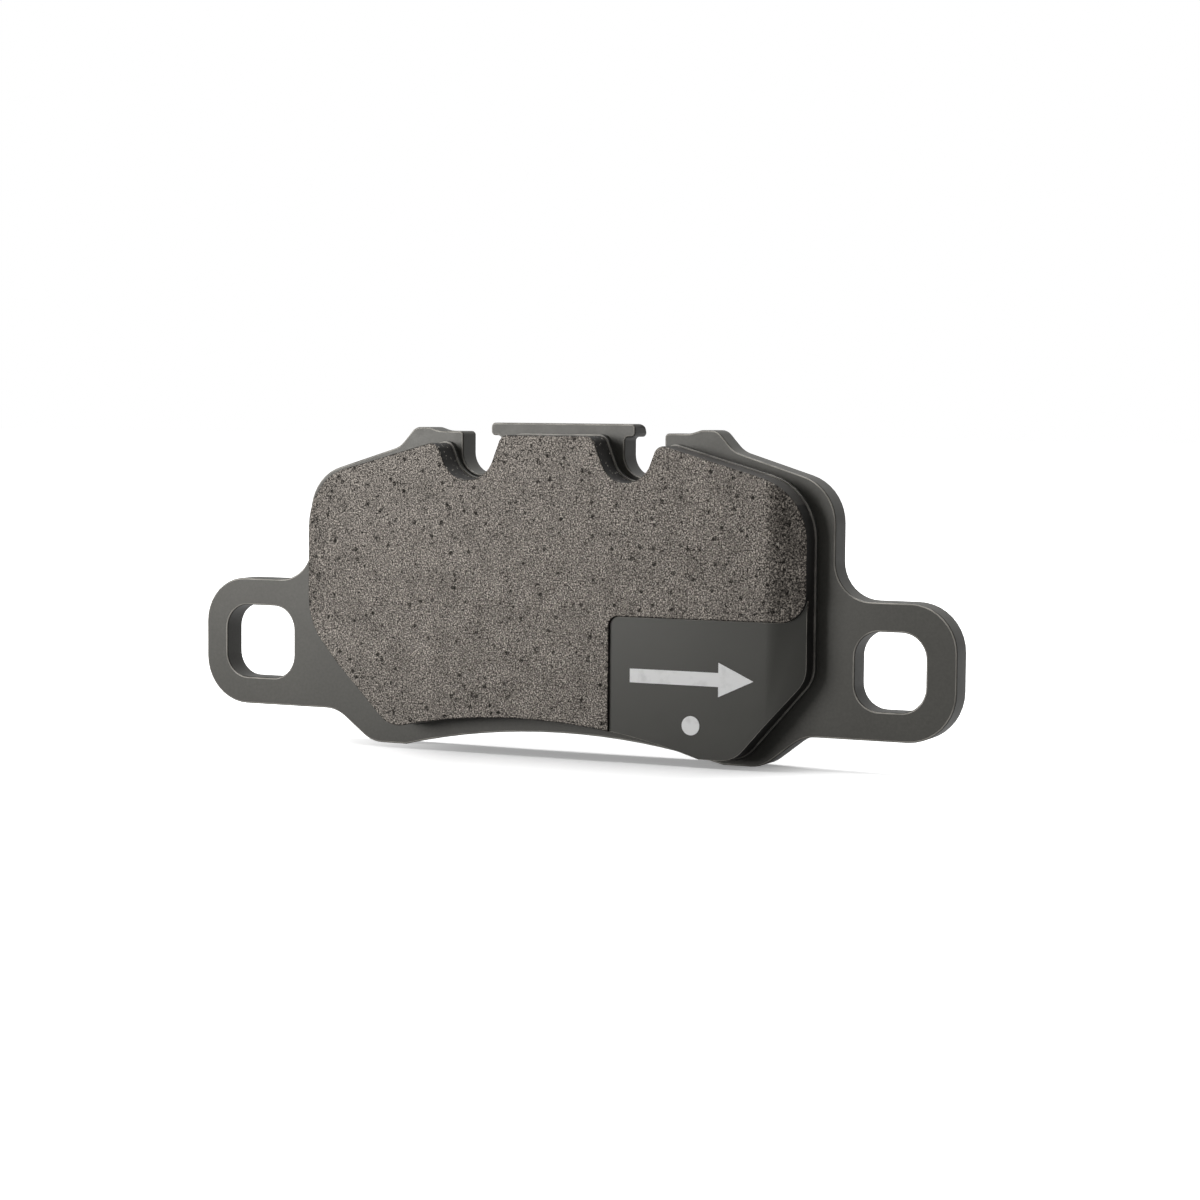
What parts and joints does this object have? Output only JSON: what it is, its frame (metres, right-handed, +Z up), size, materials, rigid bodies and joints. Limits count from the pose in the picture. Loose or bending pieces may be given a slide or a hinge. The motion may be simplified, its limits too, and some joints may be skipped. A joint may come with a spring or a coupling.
{
  "type": "disc brake pad",
  "caption": "Disc brake pad: flat steel backing plate with end eyes, a T-shaped top tab and pin notches, carrying a ramped friction block on an underlayer.",
  "frame": {"origin": "middle of the bounding box on the ground plane that the plate's two feet stand on", "axes": "+X along the pad's length, to the right when looking at the friction face; +Y out of the plate's back, away from the disc; +Z up, from the feet to the tab"},
  "size_m": [0.16, 0.0122, 0.0636],
  "materials": {
    "plate_coating": "satin grey powder coat on steel",
    "underlayer_compound": "dark moulded bonding compound, matt",
    "friction_compound": "coarse grey friction compound with dark and bright grains, matt",
    "corner_paint": "smooth dark grey satin paint film",
    "print_paint": "white printing ink"
  },
  "bodies": {
    "root": {"backing_plate": "plate_coating", "underlayer": "underlayer_compound", "friction_block": "friction_compound", "corner_coat": "corner_paint", "print_arrow": "print_paint", "print_dot": "print_paint"}
  },
  "joints": []
}
